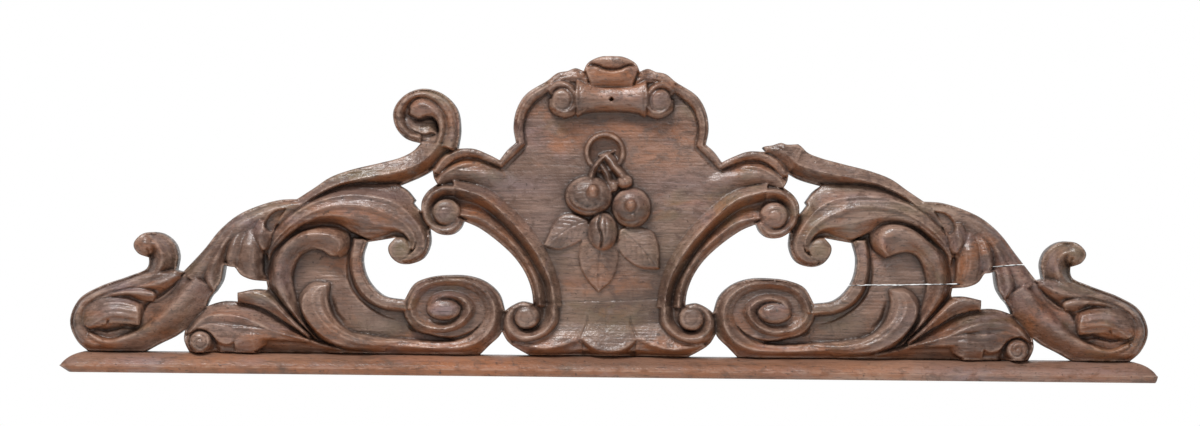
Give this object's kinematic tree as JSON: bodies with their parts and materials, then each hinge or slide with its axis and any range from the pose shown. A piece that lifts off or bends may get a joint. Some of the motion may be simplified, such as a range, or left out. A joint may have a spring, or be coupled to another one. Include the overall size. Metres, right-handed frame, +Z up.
{
  "type": "carved overdoor panel",
  "caption": "Pierced carved oak overdoor panel: a shield with hanging fruit between acanthus scroll wings, on a nosing strip.",
  "frame": {"origin": "on the flat back of the shield, on the middle line, 150 mm above the underside of the strip, where a wall fixing holds the panel", "axes": "+X to the viewer's right along the panel, +Z up, the carved front faces -Y and the flat back faces +Y"},
  "size_m": [1.094, 0.0609, 0.3205],
  "materials": {
    "carved_oak": "old dark wax, satin, worn on the high parts",
    "moulded_oak": "old dark wax, satin, rubbed along its edge"
  },
  "bodies": {
    "root": {"carved_panel": "carved_oak", "base_moulding": "moulded_oak"}
  },
  "joints": []
}
